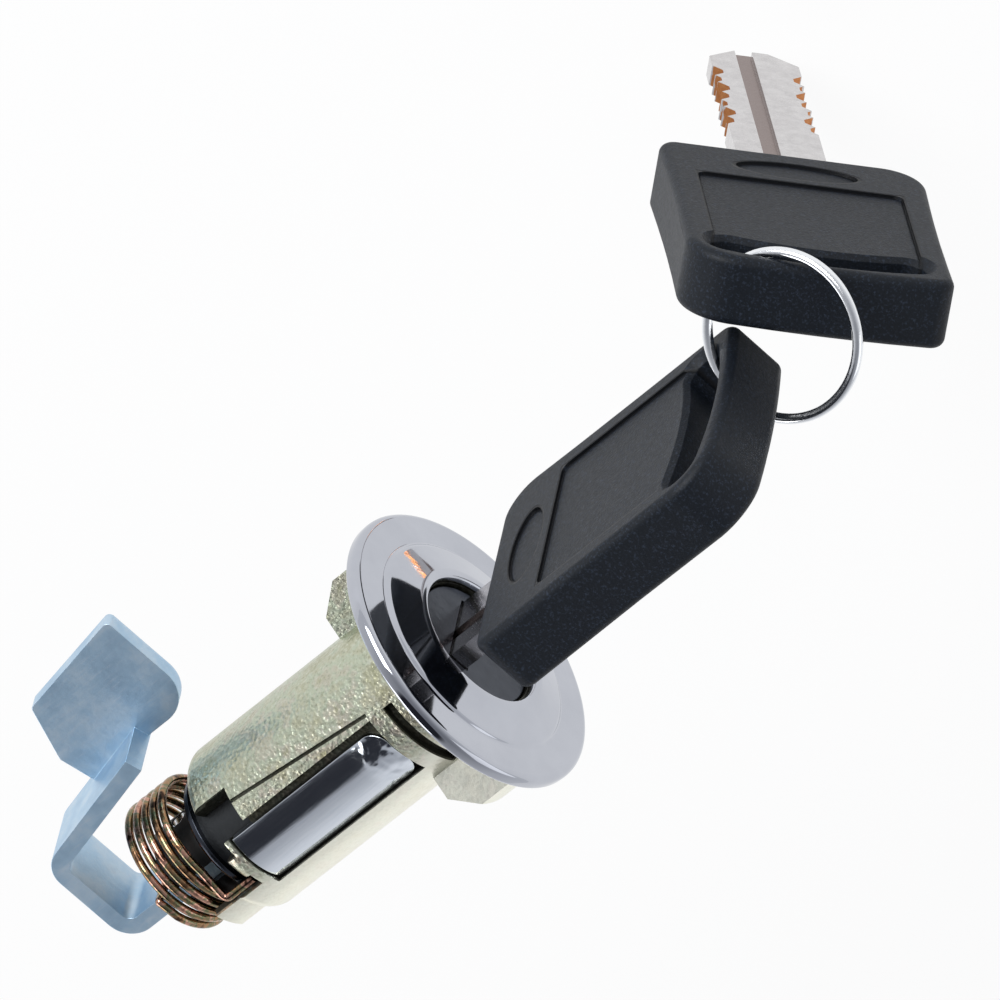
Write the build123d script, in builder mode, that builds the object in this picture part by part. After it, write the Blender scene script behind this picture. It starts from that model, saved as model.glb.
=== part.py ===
from build123d import *
import math
import os

# Trunk lock cylinder with two keys on a ring, in millimetres.
# The lock axis is Y: keys towards -Y, lever towards +Y. Z is up, through the cover strip.
# The origin is the centre of the bezel's rear face, which seats on the body panel.

# Driving dimensions: housing and bezel
barrel_radius = 8.85
barrel_length = 34.3
top_length = 31.7
top_from = -150.0
top_to = 12.0
rear_round = 1.4
sheet = 0.4
bezel_radius = 16.0
brim_front = 1.6
lip_width = 1.8
step_radius = 12.0
step_height = 0.5
opening_radius = 7.3
dome_front = 3.0
collar_depth = 0.7
nose_clearance = 0.1
lug_reach = 13.8
lug_width = 5.0
lug_length = 9.2
lug_turn = 30.0
lug_taper_length = 3.0
lug_rear_reach = 11.3
window_start = 8.0
window_length = 21.4
window_width = 7.7
window_offset = -0.2
land_front = 4.25
land_rear = 5.6
land_groove_width = 0.4
land_groove_depth = 0.35
pocket_radius = 7.7
clip_slot_y = 5.35
clip_slot_width = 1.25
clip_slot_span = 9.6
clip_slot_offset = -1.0
clip_slot_radius = 7.75
notch_from = -50.0
notch_to = -8.0
notch_wall = 0.6
deep_notch_to = -20.0
deep_notch_start = 26.6
leg_slot_from = 8.0
leg_slot_to = 19.0
leg_slot_start = 30.5
post_from = 20.0
post_to = 46.0
post_length = 3.1
post_inner_radius = 7.35
post_outer_radius = 8.4

# Driving dimensions: cover strip
strip_gap = 0.2
strip_side_gap = 1.0
strip_crown = 0.95
strip_crown_radius = 6.2
strip_corner = 2.0

# Driving dimensions: plug and what holds it
plug_radius = 6.4
turning_gap = 0.06
head_radius = 6.7
head_length = 3.0
face_set_back = 1.1
cap_sheet = 0.35
cap_skirt = 2.2
cap_gap = 0.02
boss_radius = 5.0
boss_length = 7.4
washer_seat_radius = 7.2
washer_seat_depth = 1.6
washer_thickness = 0.55
circlip_thickness = 0.6
circlip_radius = 6.3
circlip_groove_radius = 4.4
circlip_gap_angle = 70.0
end_gap = 0.05

# Driving dimensions: keys
blade_width = 9.4
blade_thickness = 2.2
blade_length = 38.0
blade_root = 12.0
blade_tip_width = 3.4
blade_tip_length = 2.8
blade_groove_width = 1.8
blade_groove_depth = 0.5
blade_groove_offset = 0.9
cut_depths = (0.7, 1.1, 0.5, 0.9, 1.2, 0.6, 1.0)
cut_floor = 0.9
keyway_gap = 0.1
keyway_end = 1.0
head_gap = 7.3
keyway_offset = 1.4
key_head_length = 33.7
key_head_thickness = 7.3
blade_end_width = 27.4
middle_width = 26.6
middle_place = 17.0
ring_end_width = 27.0
end_crown = 0.9
sharp_corner = 1.8
blade_end_corner = 4.5
ring_end_corner = 5.5
head_edge = 1.0
panel_start = 8.7
panel_length = 19.7
panel_width = 21.0
panel_depth = 0.35
panel_corner = 1.0
mark_width = 12.5
mark_height = 4.4
mark_place = 5.3
ring_slot_width = 4.1
ring_slot_length = 22.0
ring_slot_crown = 1.0
ring_slot_lip = 0.9
ring_bar = 2.1

# Driving dimensions: wafers
wafer_count = 7
wafer_thickness = 1.0
wafer_pitch = 2.5
wafer_start = 6.0
wafer_width = 7.4
wafer_travel = 0.6
wafer_set_back = 0.05
wafer_gap = 0.05
wafer_window_gap = 0.1
groove_clearance = 0.4
ear_width = 1.6
ear_height = 0.8
wafer_spring_radius = 0.7
wafer_spring_wall = 0.25
wafer_spring_length = 2.6

# Driving dimensions: torsion spring
wire = 1.0
wire_sides = 8
wire_joint_radius = 0.46
coil_radius = 7.0
coil_offset = 1.2
coil_whole_turns = 5
coil_pitch = 1.22
coil_start = 0.75
front_leg_radius = 8.2
front_leg_angle = 14.0
front_leg_reach = 3.3
rear_leg_reach = 5.0
leg_gap = 0.08

# Driving dimensions: lever
lever_thickness = 1.9
lever_width = 8.0
lever_root = 1.6
lever_back = 13.85
lever_side = 10.5
lever_toe_out = 3.45
lever_arm_length = 15.4
lever_bend = 2.05
lever_fit = 0.03
pin_radius = 1.0
pin_back = 3.6
wing_front = 25.7
wing_front_reach = 25.6
wing_inner_reach = 13.2
wing_inner_corner = 4.0
wing_corner = 0.6
wing_rear = 39.3
wing_rear_reach = 23.4
wing_heel = 41.7
wing_heel_reach = 17.1
wing_fold_end = 40.7

# Driving dimensions: ring and the spare key's place on it
ring_radius = 8.4
ring_wire = 1.1
ring_axis = (0.48999, 0.02671, 0.87132)
ring_towards_key = (-0.09988, 0.99467, 0.02568)
ring_turn_to_spare = -84.15
key_slot_place = 0.52
key_slot_rise = 0.646
spare_slot_place = -0.136
spare_slot_rise = 0.569
spare_length_dir = (0.00896, -0.3039, 0.95266)
spare_face_dir = (0.57164, -0.78012, -0.25423)

# Places that follow from them
flange_front = -(brim_front - sheet)
flange_rear = -sheet
flange_radius = bezel_radius - sheet
nose_front = -dome_front + collar_depth + nose_clearance
plug_face = -(dome_front - face_set_back)
head_front = plug_face + cap_sheet
head_rear = head_front + head_length
cap_radius = head_radius + cap_gap + cap_sheet
head_bore = cap_radius + turning_gap
bore = plug_radius + turning_gap
washer_seat = barrel_length - washer_seat_depth
plug_end = washer_seat + end_gap
boss_end = plug_end + boss_length
washer_start = plug_end
circlip_start = washer_start + washer_thickness + end_gap
wafer_radius = plug_radius - wafer_set_back
groove_radius = wafer_radius + wafer_travel + groove_clearance
key_head_front = plug_face - head_gap
blade_tip = key_head_front + blade_length
notch_start = window_start + window_length + notch_wall
slot_middle = key_head_length - ring_bar - ring_slot_width / 2
slot_reach = (ring_slot_length - ring_slot_width) / 2
full_height = 4 * barrel_radius
spring_x = (wafer_width + ear_width) / 2
pocket_floor = -ear_height / 2 - wafer_spring_length
pocket_height = ear_height + wafer_travel + 2 * wafer_gap
wafer_window_width = blade_thickness + 2 * keyway_gap + 2 * wafer_window_gap
wafer_window_height = blade_width + wafer_travel + 2 * wafer_window_gap
cut_first = key_head_front - wafer_start - wafer_thickness / 2
lever_start = plug_end + lever_root
lever_rear = barrel_length + lever_back
pin_y = boss_end - pin_back
rear_leg_x = lever_thickness / 2 + leg_gap + wire / 2
rear_leg_angle = math.degrees(math.asin((rear_leg_x - coil_offset) / coil_radius))
coil_turns = coil_whole_turns + (front_leg_angle + rear_leg_angle) / 360
arm_end = lever_rear - lever_arm_length
arm_lean = lever_toe_out / lever_arm_length
strip_width = window_width - strip_gap - strip_side_gap
strip_offset = window_offset - (strip_side_gap - strip_gap) / 2


def across(y):
    """The plane square to the lock axis at this y, with x and z as its own axes."""
    return Plane.XZ.offset(-y)


def ray(angle, radius):
    """A point at this angle from straight up, towards -X, in a plane across the axis."""
    return (-radius * math.sin(math.radians(angle)), radius * math.cos(math.radians(angle)))


def sector(start, end):
    """The corners of a wedge from the lock axis out past the barrel, between two angles."""
    return [(0, 0), ray(start, full_height), ray((start + end) / 2, full_height), ray(end, full_height), (0, 0)]


def in_slot(across_slot, rise):
    """A point in the head's ring slot, in the head's own x and y, this far towards the ring end from its middle line."""
    return across_slot, slot_middle - ring_slot_crown * (across_slot / slot_reach) ** 2 + rise


def rear_profile(radius, length):
    """The rounded rear corner of the barrel's outside, as the corner's two ends and its arc."""
    RadiusArc((radius, length - rear_round), (radius - rear_round, length), -rear_round)


# Housing: turned outside, lugs, bore, then the openings in its wall
with BuildPart() as rear_skirt:
    with BuildSketch(Plane.XY):
        with BuildLine():
            Polyline(
                (barrel_radius - rear_round, barrel_length),
                (0, barrel_length),
                (0, top_length - rear_round - 1),
                (barrel_radius, top_length - rear_round - 1),
                (barrel_radius, barrel_length - rear_round),
            )
            rear_profile(barrel_radius, barrel_length)
        make_face()
    revolve(axis=Axis.Y)
    with BuildSketch(across(0)):
        with BuildLine():
            Polyline(*sector(top_from, top_to))
        make_face()
    extrude(amount=-full_height, both=True, mode=Mode.SUBTRACT)

with BuildPart() as lugs:
    with BuildSketch(Plane.XY):
        with BuildLine():
            Polyline(
                (0, flange_rear),
                (lug_reach, flange_rear),
                (lug_reach, lug_length - lug_taper_length),
                (lug_rear_reach, lug_length),
                (0, lug_length),
                (0, flange_rear),
            )
        make_face()
    revolve(axis=Axis.Y)
    with BuildSketch(across(0)):
        Rectangle(2 * full_height, lug_width, rotation=-lug_turn)
    extrude(amount=full_height, both=True, mode=Mode.INTERSECT)

with BuildPart() as housing:
    with BuildSketch(Plane.XY):
        with BuildLine():
            Polyline(
                (barrel_radius - rear_round, top_length),
                (0, top_length),
                (0, nose_front),
                (opening_radius + 2 * sheet, nose_front),
                (step_radius - sheet - nose_clearance, flange_front - step_height + nose_clearance),
                (step_radius - sheet - nose_clearance, flange_front),
                (flange_radius, flange_front),
                (flange_radius, flange_rear),
                (barrel_radius, flange_rear),
                (barrel_radius, top_length - rear_round),
            )
            rear_profile(barrel_radius, top_length)
        make_face()
    revolve(axis=Axis.Y)
    add(rear_skirt.part)
    add(lugs.part)
    with BuildSketch(across(barrel_length - rear_round)):
        Circle(post_outer_radius)
        Circle(post_inner_radius, mode=Mode.SUBTRACT)
        with BuildLine():
            Polyline(*sector(post_from, post_to))
        make_face(mode=Mode.INTERSECT)
    extrude(amount=-(rear_round + post_length))
    with BuildSketch(Plane.XY):
        with BuildLine():
            Polyline(
                (0, -full_height),
                (head_bore, -full_height),
                (head_bore, head_rear + end_gap),
                (bore, head_rear + end_gap),
                (bore, washer_seat),
                (washer_seat_radius, washer_seat),
                (washer_seat_radius, full_height * 2),
                (0, full_height * 2),
                (0, -full_height),
            )
        make_face()
    revolve(axis=Axis.Y, mode=Mode.SUBTRACT)
    with BuildSketch(across(window_start)):
        with Locations((window_offset, full_height / 2)):
            Rectangle(window_width, full_height)
        Circle(pocket_radius, mode=Mode.SUBTRACT)
    extrude(amount=-window_length, mode=Mode.SUBTRACT)
    with BuildSketch(across(clip_slot_y - clip_slot_width / 2)):
        with Locations((clip_slot_offset, full_height / 2)):
            Rectangle(clip_slot_span, full_height)
        Circle(clip_slot_radius, mode=Mode.SUBTRACT)
    extrude(amount=-clip_slot_width, mode=Mode.SUBTRACT)
    with BuildSketch(across(wafer_start - wafer_thickness)):
        Circle(groove_radius)
        Rectangle(wafer_width + 2 * wafer_gap, full_height, mode=Mode.INTERSECT)
    extrude(amount=-(wafer_count * wafer_pitch + wafer_thickness), mode=Mode.SUBTRACT)
    for start, end, y in (
        (notch_from, notch_to, notch_start),
        (notch_from, deep_notch_to, deep_notch_start),
        (leg_slot_from, leg_slot_to, leg_slot_start),
    ):
        with BuildSketch(across(y)):
            with BuildLine():
                Polyline(*sector(start, end))
            make_face()
        extrude(amount=-full_height, mode=Mode.SUBTRACT)
    land_start = Vector(land_front, window_start, math.sqrt(barrel_radius**2 - land_front**2))
    land_end = Vector(land_rear, deep_notch_start, math.sqrt(barrel_radius**2 - land_rear**2))
    land_run = land_end - land_start
    land_middle = (land_start + land_end) / 2
    land_side = land_run.cross(Vector(land_middle.X, 0, land_middle.Z))
    with Locations(Plane(origin=land_middle, x_dir=land_run, z_dir=land_side.cross(land_run))):
        Box(land_run.length, land_groove_width, 2 * land_groove_depth, mode=Mode.SUBTRACT)
housing.part.label = "housing"
export_step(housing.part, "parts/housing.step")

# Bezel: one sheet, drawn over the flange and rolled in behind it
with BuildPart() as bezel:
    with BuildSketch(Plane.XY):
        with BuildLine():
            Polyline(
                (bezel_radius - lip_width, 0),
                (bezel_radius, 0),
                (bezel_radius, -brim_front),
                (step_radius, -brim_front),
                (step_radius, -brim_front - step_height),
                (opening_radius + 2 * sheet, -dome_front),
                (opening_radius, -dome_front),
                (opening_radius, -dome_front + collar_depth),
                (opening_radius + sheet, -dome_front + collar_depth),
                (opening_radius + sheet, -dome_front + sheet),
                (opening_radius + 2 * sheet, -dome_front + sheet),
                (step_radius - sheet, -brim_front - step_height + sheet),
                (step_radius - sheet, flange_front),
                (flange_radius, flange_front),
                (flange_radius, flange_rear),
                (bezel_radius - lip_width, flange_rear),
                (bezel_radius - lip_width, 0),
            )
        make_face()
    revolve(axis=Axis.Y)
bezel.part.label = "bezel"
export_step(bezel.part, "parts/bezel.step")


# Cover strip: lies in the window on the pocket's floor, crowned along its length
with BuildPart() as cover_strip:
    with BuildSketch(across(window_start + strip_gap)):
        with Locations((0, pocket_radius + strip_crown - strip_crown_radius)):
            Circle(strip_crown_radius)
        with Locations((strip_offset, full_height / 2)):
            Rectangle(strip_width, full_height, mode=Mode.INTERSECT)
        Circle(pocket_radius, mode=Mode.SUBTRACT)
    extrude(amount=-(window_length - 2 * strip_gap))
    with BuildSketch(Plane.XY):
        with Locations((strip_offset, window_start + window_length / 2)):
            plan = Rectangle(strip_width, window_length - 2 * strip_gap)
        fillet(plan.vertices().group_by(Axis.Y)[0], strip_corner)
    extrude(amount=full_height, mode=Mode.INTERSECT)
cover_strip.part.label = "cover_strip"
export_step(cover_strip.part, "parts/cover_strip.step")

# Plug: turned core with the keyway, wafer slots, spring pockets and slotted boss
with BuildPart() as plug:
    with BuildSketch(Plane.XY):
        with BuildLine():
            Polyline(
                (0, head_front),
                (head_radius, head_front),
                (head_radius, head_rear),
                (plug_radius, head_rear),
                (plug_radius, plug_end),
                (boss_radius, plug_end),
                (boss_radius, circlip_start),
                (circlip_groove_radius, circlip_start),
                (circlip_groove_radius, circlip_start + circlip_thickness),
                (boss_radius, circlip_start + circlip_thickness),
                (boss_radius, boss_end),
                (0, boss_end),
                (0, head_front),
            )
        make_face()
    revolve(axis=Axis.Y)
    with BuildSketch(across(head_front)):
        with Locations((keyway_offset, 0)):
            Rectangle(blade_thickness + 2 * keyway_gap, blade_width + 2 * keyway_gap)
    extrude(amount=-(blade_tip + keyway_end - head_front), mode=Mode.SUBTRACT)
    for index in range(wafer_count):
        y = wafer_start + index * wafer_pitch
        side = 1 if index % 2 == 0 else -1
        with BuildSketch(across(y - wafer_gap)):
            Rectangle(wafer_width + 2 * wafer_gap, full_height)
            with Locations((side * (wafer_width + ear_width) / 2, side * wafer_travel / 2)):
                Rectangle(ear_width + 2 * wafer_gap, pocket_height)
        extrude(amount=-(wafer_thickness + 2 * wafer_gap), mode=Mode.SUBTRACT)
        with BuildSketch(Plane.XY.offset(side * pocket_floor)):
            with Locations((side * spring_x, y + wafer_thickness / 2)):
                Circle(wafer_spring_radius + wafer_gap)
        extrude(amount=side * (wafer_spring_length + wafer_gap), mode=Mode.SUBTRACT)
    with BuildSketch(across(lever_start)):
        Rectangle(lever_thickness + 2 * lever_fit, full_height)
    extrude(amount=-full_height, mode=Mode.SUBTRACT)
    with BuildSketch(Plane.YZ):
        with Locations((pin_y, 0)):
            Circle(pin_radius)
    extrude(amount=full_height, both=True, mode=Mode.SUBTRACT)
plug.part.label = "plug"
export_step(plug.part, "parts/plug.step")

# Plug cap: a thin bright cup over the plug's head, with the key's slot
with BuildPart() as plug_cap:
    with BuildSketch(across(plug_face)):
        Circle(cap_radius)
    extrude(amount=-cap_skirt)
    with BuildSketch(across(head_front)):
        Circle(head_radius + cap_gap)
    extrude(amount=-full_height, mode=Mode.SUBTRACT)
    with BuildSketch(across(plug_face)):
        with Locations((keyway_offset, 0)):
            RectangleRounded(blade_thickness + 4 * keyway_gap, blade_width + 4 * keyway_gap, 2 * keyway_gap)
    extrude(amount=-full_height, mode=Mode.SUBTRACT)
    rim = plug_cap.edges().filter_by(GeomType.CIRCLE).group_by(Axis.Y)[0].sort_by(SortBy.LENGTH)[-1]
    fillet(rim, cap_sheet * 0.8)
plug_cap.part.label = "plug_cap"
export_step(plug_cap.part, "parts/plug_cap.step")

# Wafers: flat plates with a window for the blade and an ear for the spring
for index in range(wafer_count):
    y = wafer_start + index * wafer_pitch
    side = 1 if index % 2 == 0 else -1
    with BuildPart() as wafer:
        with BuildSketch(across(y)):
            Circle(wafer_radius)
            Rectangle(wafer_width, full_height, mode=Mode.INTERSECT)
            with Locations((side * (wafer_width + ear_width) / 2, 0)):
                Rectangle(ear_width, ear_height)
            with Locations((keyway_offset, -side * wafer_travel / 2)):
                Rectangle(wafer_window_width, wafer_window_height, mode=Mode.SUBTRACT)
        extrude(amount=-wafer_thickness)
    wafer.part.label = f"wafer_{index + 1}"
    export_step(wafer.part, f"parts/wafer_{index + 1}.step")

# Wafer springs: each a plain sleeve of the coil's size, between its pocket's floor and the ear
with BuildPart() as wafer_springs:
    for index in range(wafer_count):
        y = wafer_start + index * wafer_pitch
        side = 1 if index % 2 == 0 else -1
        with BuildSketch(Plane.XY.offset(side * pocket_floor)):
            with Locations((side * spring_x, y + wafer_thickness / 2)):
                Circle(wafer_spring_radius)
                Circle(wafer_spring_radius - wafer_spring_wall, mode=Mode.SUBTRACT)
        extrude(amount=side * wafer_spring_length)
wafer_springs.part.label = "wafer_springs"
export_step(wafer_springs.part, "parts/wafer_springs.step")

# Retaining washer and circlip, in the seat at the housing's rear
with BuildPart() as retaining_washer:
    with BuildSketch(across(washer_start)):
        Circle(washer_seat_radius - turning_gap)
        Circle(boss_radius + cap_gap, mode=Mode.SUBTRACT)
    extrude(amount=-washer_thickness)
retaining_washer.part.label = "retaining_washer"
export_step(retaining_washer.part, "parts/retaining_washer.step")

with BuildPart() as circlip:
    with BuildSketch(across(circlip_start)):
        Circle(circlip_radius)
        Circle(circlip_groove_radius + cap_gap, mode=Mode.SUBTRACT)
        with BuildLine():
            half_gap = circlip_gap_angle / 2
            Polyline(*sector(180 - half_gap, 180 + half_gap))
        make_face(mode=Mode.SUBTRACT)
    extrude(amount=-circlip_thickness)
circlip.part.label = "circlip"
export_step(circlip.part, "parts/circlip.step")

# Torsion spring: the coil, a leg forward on the housing's post and a leg in to the lever
out = ray(front_leg_angle, 1)
coil_front = barrel_length + coil_start
coil_plane = Plane(origin=(coil_offset, coil_front, 0), x_dir=(out[0], 0, out[1]), z_dir=(0, 1, 0))
coil = coil_plane.location * Helix(pitch=coil_pitch, height=coil_pitch * coil_turns, radius=coil_radius)
foot = Vector(out[0] * front_leg_radius, coil_front, out[1] * front_leg_radius)
toe = foot - Vector(0, coil_start + front_leg_reach, 0)
with BuildPart() as torsion_spring:
    with BuildSketch(Plane(origin=coil @ 0, z_dir=coil % 0)):
        RegularPolygon(wire / 2, wire_sides)
    sweep(path=coil, is_frenet=True)
    with BuildLine():
        front_leg = Polyline(coil @ 0, foot, toe)
    with BuildSketch(Plane(origin=coil @ 0, z_dir=front_leg % 0)):
        RegularPolygon(wire / 2, wire_sides)
    sweep(path=front_leg, transition=Transition.RIGHT)
    with BuildLine():
        rear_leg = Line(coil @ 1, (coil @ 1) - Vector(0, 0, rear_leg_reach))
    with BuildSketch(Plane(origin=coil @ 1, z_dir=rear_leg % 0)):
        RegularPolygon(wire / 2, wire_sides)
    sweep(path=rear_leg)
    with Locations(coil @ 0, coil @ 1):
        Sphere(wire_joint_radius)
torsion_spring.part.label = "torsion_spring"
export_step(torsion_spring.part, "parts/torsion_spring.step")

# Lever: one strip bent twice, its wing folded out from the arm's lower edge
with BuildPart() as lever:
    with BuildSketch(Plane.XY):
        with BuildLine():
            FilletPolyline(
                (0, lever_start),
                (0, lever_rear),
                (lever_side, lever_rear),
                (lever_side + lever_toe_out, lever_rear - lever_arm_length),
                radius=lever_bend,
            )
        trace(line_width=lever_thickness)
    extrude(amount=lever_width / 2, both=True)
    with BuildSketch(Plane.XY.offset(-lever_width / 2)):
        with BuildLine():
            Polyline(
                (lever_side + arm_lean * (lever_rear - wing_fold_end), wing_fold_end),
                (lever_side + arm_lean * (lever_rear - arm_end - lever_thickness), arm_end + lever_thickness),
                (wing_inner_reach, arm_end + lever_thickness),
                (wing_inner_reach, wing_front),
                (wing_front_reach, wing_front),
                (wing_rear_reach, wing_rear),
                (wing_heel_reach, wing_heel),
                (lever_side + arm_lean * (lever_rear - wing_fold_end), wing_fold_end),
            )
        make_face()
    extrude(amount=lever_thickness)
    for corner, radius in (
        ((wing_inner_reach, wing_front), wing_inner_corner),
        ((wing_front_reach, wing_front), wing_corner),
        ((wing_rear_reach, wing_rear), wing_corner),
        ((wing_heel_reach, wing_heel), wing_corner),
    ):
        upright = lever.edges().filter_by(Axis.Z)
        fillet(upright.sort_by_distance((*corner, -lever_width / 2 + lever_thickness / 2))[0], radius)
    with BuildSketch(Plane.YZ):
        with Locations((pin_y, 0)):
            Circle(pin_radius)
    extrude(amount=lever_thickness, both=True, mode=Mode.SUBTRACT)
lever.part.label = "lever"
export_step(lever.part, "parts/lever.step")

# Lever pin: through the plug's boss and the lever's root
with BuildPart() as lever_pin:
    with BuildSketch(Plane.YZ):
        with Locations((pin_y, 0)):
            Circle(pin_radius)
    extrude(amount=math.sqrt(boss_radius**2 - pin_radius**2), both=True)
lever_pin.part.label = "lever_pin"
export_step(lever_pin.part, "parts/lever_pin.step")

# Key: drawn flat, x across the head, y from the blade towards the ring, z through its thickness
with BuildPart() as blade:
    with BuildSketch(Plane.XY.offset(-blade_thickness / 2)):
        with BuildLine():
            Polyline(
                (blade_width / 2, blade_root),
                (blade_width / 2, blade_tip_length - blade_length),
                (blade_tip_width / 2, -blade_length),
                (-blade_tip_width / 2, -blade_length),
                (-blade_width / 2, blade_tip_length - blade_length),
                (-blade_width / 2, blade_root),
                (blade_width / 2, blade_root),
            )
        make_face()
        for index, depth in enumerate(cut_depths):
            y = cut_first - index * wafer_pitch
            for edge in (-1, 1):
                with BuildLine():
                    Polyline(
                        (edge * blade_width, y - cut_floor / 2 - blade_width / 2 - depth),
                        (edge * (blade_width / 2 - depth), y - cut_floor / 2),
                        (edge * (blade_width / 2 - depth), y + cut_floor / 2),
                        (edge * blade_width, y + cut_floor / 2 + blade_width / 2 + depth),
                        (edge * blade_width, y - cut_floor / 2 - blade_width / 2 - depth),
                    )
                make_face(mode=Mode.SUBTRACT)
    extrude(amount=blade_thickness)
    for side in (-1, 1):
        with BuildSketch(Plane.XY.offset(side * (blade_thickness / 2 - blade_groove_depth))):
            with Locations((side * blade_groove_offset, -blade_length / 2)):
                Rectangle(blade_groove_width, blade_length)
        extrude(amount=side * blade_thickness, mode=Mode.SUBTRACT)

with BuildPart() as head:
    with BuildSketch(Plane.XY):
        with BuildLine():
            base = Line((-blade_end_width / 2, 0), (blade_end_width / 2, 0))
            right = ThreePointArc(
                base @ 1,
                (middle_width / 2, middle_place),
                (ring_end_width / 2, key_head_length - end_crown),
            )
            end = ThreePointArc(right @ 1, (0, key_head_length), (-ring_end_width / 2, key_head_length - end_crown))
            ThreePointArc(end @ 1, (-middle_width / 2, middle_place), base @ 0)
        make_face()
    extrude(amount=key_head_thickness / 2, both=True)
    for corner, radius in (
        (base @ 1, sharp_corner),
        (base @ 0, blade_end_corner),
        (end @ 0, ring_end_corner),
        (end @ 1, sharp_corner),
    ):
        fillet(head.edges().filter_by(Axis.Z).sort_by_distance(corner)[0], radius)
    flat_faces = head.faces().filter_by(Axis.Z)
    fillet(flat_faces.edges(), head_edge)
    for side in (-1, 1):
        with BuildSketch(Plane.XY.offset(side * (key_head_thickness / 2 - panel_depth))):
            with Locations((0, panel_start + panel_length / 2)):
                RectangleRounded(panel_width, panel_length, panel_corner)
            with Locations((0, mark_place)):
                Ellipse(mark_width / 2, mark_height / 2)
        extrude(amount=side * panel_depth * 2, mode=Mode.SUBTRACT)
    with BuildSketch(Plane.XY):
        slot_arc = ThreePointArc(
            (-slot_reach, slot_middle - ring_slot_crown),
            (0, slot_middle),
            (slot_reach, slot_middle - ring_slot_crown),
        )
        SlotArc(slot_arc, ring_slot_width)
    extrude(amount=key_head_thickness, both=True, mode=Mode.SUBTRACT)
    for side in (-1, 1):
        with BuildSketch(Plane.XY.offset(side * key_head_thickness / 2)):
            SlotArc(slot_arc, ring_slot_width + 2 * ring_slot_lip)
        extrude(amount=-side * ring_slot_lip, taper=45, mode=Mode.SUBTRACT)
    with BuildSketch(Plane.XY.offset(-blade_thickness / 2)):
        with Locations((0, blade_root / 2)):
            Rectangle(blade_width, blade_root)
    extrude(amount=blade_thickness, mode=Mode.SUBTRACT)

# The key in the lock, the ring hooked in the end of its slot, and its twin on the ring
key_place = Plane(origin=(keyway_offset, key_head_front, 0), x_dir=(0, 0, 1), z_dir=(1, 0, 0))
key_crossing = key_place.from_local_coords(Vector(*in_slot(key_slot_place - slot_reach, key_slot_rise), 0))
towards_key = Vector(*ring_towards_key)
towards_spare = towards_key.rotate(Axis((0, 0, 0), ring_axis), ring_turn_to_spare)
ring_centre = key_crossing - towards_key * ring_radius
spare_crossing = ring_centre + towards_spare * ring_radius
spare_along = Vector(*spare_length_dir)
spare_face = Vector(*spare_face_dir)
spare_across = spare_along.cross(spare_face)
slot_x, slot_y = in_slot(slot_reach - spare_slot_place, spare_slot_rise)
spare_head_at = spare_crossing - spare_across * slot_x - spare_along * slot_y
spare_place = Plane(origin=spare_head_at, x_dir=spare_across, z_dir=spare_face)
for prefix, place in (("key", key_place), ("spare_key", spare_place)):
    for kind, source in (("blade", blade), ("head", head)):
        piece = source.part.moved(place.location)
        piece.label = f"{prefix}_{kind}"
        export_step(piece, f"parts/{prefix}_{kind}.step")

# Key ring: one round wire ring through both heads
with BuildPart(Plane(origin=ring_centre, z_dir=ring_axis)) as key_ring:
    Torus(ring_radius, ring_wire / 2)
key_ring.part.label = "key_ring"
export_step(key_ring.part, "parts/key_ring.step")
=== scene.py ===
# %% [markdown]
# A trunk lock cylinder with two keys on a ring.
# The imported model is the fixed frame: it says how large each part is and where it sits.
# Here the parts get what a real one shows: rounded edges, rolled sheet, smooth wire and the
# finish of each metal and plastic. Shapes are drawn in millimetres, as on a workshop drawing,
# and are turned into Blender's metres when a piece is done.

# %% The fixed frame
import math

import bmesh
import bpy
from mathutils import Matrix, Vector


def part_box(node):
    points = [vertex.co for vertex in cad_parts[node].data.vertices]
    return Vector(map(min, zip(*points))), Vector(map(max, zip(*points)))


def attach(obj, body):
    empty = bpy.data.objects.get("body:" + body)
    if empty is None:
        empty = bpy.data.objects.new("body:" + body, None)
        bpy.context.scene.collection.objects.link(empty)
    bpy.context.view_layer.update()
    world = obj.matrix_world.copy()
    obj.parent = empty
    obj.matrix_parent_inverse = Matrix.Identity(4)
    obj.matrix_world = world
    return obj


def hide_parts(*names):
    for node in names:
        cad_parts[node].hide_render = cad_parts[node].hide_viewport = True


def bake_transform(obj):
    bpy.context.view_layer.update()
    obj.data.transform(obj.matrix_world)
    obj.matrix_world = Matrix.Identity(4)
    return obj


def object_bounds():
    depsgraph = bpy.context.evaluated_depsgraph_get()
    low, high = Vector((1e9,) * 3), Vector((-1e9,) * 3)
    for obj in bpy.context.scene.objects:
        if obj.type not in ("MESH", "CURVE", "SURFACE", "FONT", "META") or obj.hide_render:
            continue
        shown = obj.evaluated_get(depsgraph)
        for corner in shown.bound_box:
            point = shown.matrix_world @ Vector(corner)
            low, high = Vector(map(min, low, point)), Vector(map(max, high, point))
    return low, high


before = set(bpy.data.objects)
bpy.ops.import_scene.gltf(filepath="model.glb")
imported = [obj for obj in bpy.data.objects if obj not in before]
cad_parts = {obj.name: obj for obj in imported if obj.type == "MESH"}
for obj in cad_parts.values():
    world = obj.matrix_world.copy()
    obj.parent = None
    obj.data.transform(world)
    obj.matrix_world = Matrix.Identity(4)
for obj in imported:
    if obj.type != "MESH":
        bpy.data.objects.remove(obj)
cad_low, cad_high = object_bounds()
MM = 0.001
print("CAD box in mm:", [round(v / MM, 1) for v in (*cad_low, *cad_high)])

# %% [markdown]
# A finish is a small graph of nodes. Written node by node it is hard to read, so the number
# that leaves a node is wrapped in a class of its own: adding or multiplying two of them adds
# the Math node for it, and 1 - mask works too. Colours don't go through Math nodes, because
# those turn a colour grey.


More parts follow.
